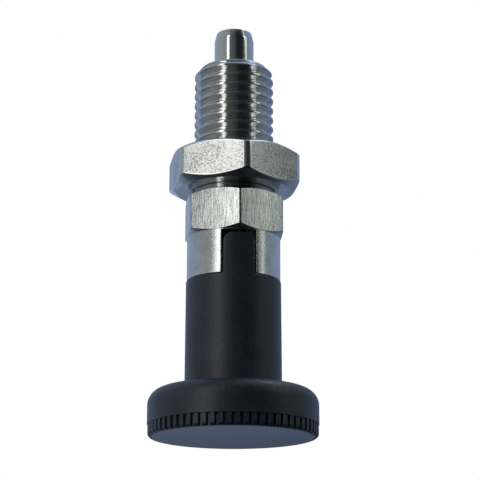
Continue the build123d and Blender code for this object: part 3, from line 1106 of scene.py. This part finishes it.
def softbox(name, low, high, dist, width, radiance, colour=(1, 1, 1)):
    """Strip lamp whose long axis runs between two directions (azimuth, elevation)."""
    centre = Vector((0, 0, 0.035))
    p0, p1 = centre + toward(*low) * dist, centre + toward(*high) * dist
    d = bpy.data.lights.new(name, "AREA")
    d.shape = "RECTANGLE"
    d.size, d.size_y = width, (p1 - p0).length
    d.color = colour
    d.energy = radiance * 4.0 * d.size * d.size_y
    ob = bpy.data.objects.new(name, d)
    up = (p1 - p0).normalized()
    mid = (p0 + p1) / 2
    z = (mid - centre)
    z = (z - up * z.dot(up)).normalized()
    x = up.cross(z)
    m = Matrix((x, up, z)).transposed().to_4x4()
    m.translation = mid
    ob.matrix_world = m
    bpy.context.scene.collection.objects.link(ob)
    ob.visible_camera = False
    return ob


softbox("key_left", (-35.5, -6.0), (-35.5, 46.0), 0.50, 0.088, 2.0, (1.0, 1.0, 0.99))
softbox("key_low", (-42.0, -34.0), (-45.5, 13.0), 0.50, 0.055, 1.6, (1.0, 1.0, 0.99))
softbox("strip_right", (76.0, 6.0), (75.0, 40.0), 0.50, 0.076, 0.72, (0.93, 1.0, 0.94))
softbox("strip_high", (75.0, 36.0), (71.0, 60.0), 0.50, 0.060, 0.4, (0.93, 1.0, 0.94))
softbox("strip_soft", (67.5, 26.0), (67.0, 44.0), 0.50, 0.038, 2.8, (0.93, 1.0, 0.94))
softbox("soft_back", (108.0, 60.0), (140.0, 60.0), 0.50, 0.120, 2.7, (0.88, 0.95, 1.0))

world = bpy.data.worlds.new("studio")
bpy.context.scene.world = world
world.use_nodes = True
nt = world.node_tree
nt.nodes.clear()
out = nt.nodes.new("ShaderNodeOutputWorld")
bg_cam = nt.nodes.new("ShaderNodeBackground")
bg_env = nt.nodes.new("ShaderNodeBackground")
mixs = nt.nodes.new("ShaderNodeMixShader")
lp = nt.nodes.new("ShaderNodeLightPath")
tc = nt.nodes.new("ShaderNodeTexCoord")
sep = nt.nodes.new("ShaderNodeSeparateXYZ")
bg_cam.inputs["Color"].default_value = (1, 1, 1, 1)
bg_cam.inputs["Strength"].default_value = 1.0
nt.links.new(tc.outputs["Generated"], sep.inputs[0])
fa = math.radians(CAM_AZ)
fx, fy = math.sin(fa), -math.cos(fa)           # toward the camera's side
rx, ry = math.cos(fa), math.sin(fa)            # to its right
fwd = mathn(nt, "ADD", mathn(nt, "MULTIPLY", sep.outputs["X"], fx),
            mathn(nt, "MULTIPLY", sep.outputs["Y"], fy))
rgt = mathn(nt, "ADD", mathn(nt, "MULTIPLY", sep.outputs["X"], rx),
            mathn(nt, "MULTIPLY", sep.outputs["Y"], ry))
az = mathn(nt, "ARCTAN2", rgt, fwd)
pos = remap(nt, az, -math.pi, math.pi, 0.0, 1.0)
STOPS = [(-180, (0.27, 0.36, 0.55)), (-173, (0.35, 0.455, 0.67)),
         (-165, (0.36, 0.47, 0.69)),
         (-150, (0.34, 0.44, 0.63)),
         (-115, (0.34, 0.41, 0.51)), (-85, (0.36, 0.395, 0.42)),
         (-58, (0.32, 0.345, 0.35)), (-48, (0.28, 0.305, 0.305)),
         (-30, (0.13, 0.15, 0.15)), (-8, (0.10, 0.11, 0.11)),
         (8, (0.055, 0.065, 0.07)), (18, (0.014, 0.018, 0.022)),
         (48, (0.020, 0.024, 0.026)), (60, (0.07, 0.085, 0.08)),
         (70, (0.18, 0.21, 0.20)), (87, (0.23, 0.28, 0.27)),
         (105, (0.28, 0.35, 0.47)), (145, (0.28, 0.37, 0.57)),
         (174, (0.20, 0.28, 0.45)), (180, (0.27, 0.36, 0.55))]


def ramp_of(val, stops):
    n = nt.nodes.new("ShaderNodeValToRGB")
    nt.links.new(val, n.inputs["Fac"])
    el = n.color_ramp.elements
    while len(el) > 1:
        el.remove(el[-1])
    for i, (x, c) in enumerate(stops):
        e = el[0] if i == 0 else el.new(x)
        e.position = x
        e.color = (*c, 1.0)
    return n.outputs["Color"]


def product(a, b):
    n = nt.nodes.new("ShaderNodeMix")
    n.data_type = "RGBA"
    n.blend_type = "MULTIPLY"
    n.inputs["Factor"].default_value = 1.0
    ins = [q for q in n.inputs if q.type == "RGBA"]
    nt.links.new(a, ins[0])
    nt.links.new(b, ins[1])
    return [q for q in n.outputs if q.type == "RGBA"][0]


around = ramp_of(pos, [((a + 180) / 360, c) for a, c in STOPS])
# the light falls off below the horizon; a pale ceiling closes the top
DIM = [(-1.0, 0.05), (-0.50, 0.14), (-0.29, 0.32), (-0.14, 0.80), (0.0, 1.0),
       (1.0, 1.0)]
OPEN = [(-1.0, 0.04), (-0.85, 0.08), (-0.72, 0.18), (-0.60, 0.55), (-0.45, 1.0),
        (-0.31, 1.0), (-0.24, 0.50), (-0.17, 0.50), (-0.06, 1.0), (1.0, 1.0)]
SIDE = [(-180, 0.8), (-165, 1.0), (-60, 1.0), (-25, 0.0), (60, 0.0), (95, 0.55),
        (165, 0.55), (180, 0.8)]
height = remap(nt, sep.outputs["Z"], -1.0, 1.0, 0.0, 1.0)
dim = ramp_of(height, [((z + 1) / 2, (f, f, f)) for z, f in DIM])
lit = ramp_of(height, [((z + 1) / 2, (f, f, f)) for z, f in OPEN])
side = ramp_of(pos, [((a + 180) / 360, (f, f, f)) for a, f in SIDE])
fall = mix_colour(nt, side, dim, lit)
up = remap(nt, sep.outputs["Z"], 0.80, 0.93, 0.0, 1.0)
env = mix_colour(nt, up, product(around, fall), (0.28, 0.36, 0.48))
nt.links.new(env, bg_env.inputs["Color"])
bg_env.inputs["Strength"].default_value = 1.0
nt.links.new(lp.outputs["Is Camera Ray"], mixs.inputs[0])
nt.links.new(bg_env.outputs[0], mixs.inputs[1])
nt.links.new(bg_cam.outputs[0], mixs.inputs[2])
nt.links.new(mixs.outputs[0], out.inputs["Surface"])

# ------------------------------------------------------------------------ camera
F_PX, DIST, ELEV, ZC = 1717.0, 255.8, -14.85, 29.56
CX, ROLL = 233.6, 0.0025
a, e = math.radians(CAM_AZ), math.radians(ELEV)
back = Vector((math.sin(a) * math.cos(e), -math.cos(a) * math.cos(e), math.sin(e)))
right = Vector((math.cos(a), math.sin(a), 0.0))
up0 = back.cross(right)
r2 = right * math.cos(ROLL) + up0 * math.sin(ROLL)
u2 = up0 * math.cos(ROLL) - right * math.sin(ROLL)
cam_data = bpy.data.cameras.new("camera")
cam = bpy.data.objects.new("camera", cam_data)
bpy.context.scene.collection.objects.link(cam)
cam_data.sensor_width = 36.0
cam_data.lens = F_PX * 36.0 / 480.0
cam_data.shift_x = (240.0 - CX) / 480.0
cam_data.clip_start, cam_data.clip_end = 0.01, 20.0
mat = Matrix((r2, u2, back)).transposed().to_4x4()
mat.translation = (Vector((0, 0, ZC)) + back * DIST) * MM
cam.matrix_world = mat
bpy.context.scene.camera = cam
bpy.context.scene.view_settings.view_transform = "Standard"
bpy.context.scene.view_settings.look = "None"
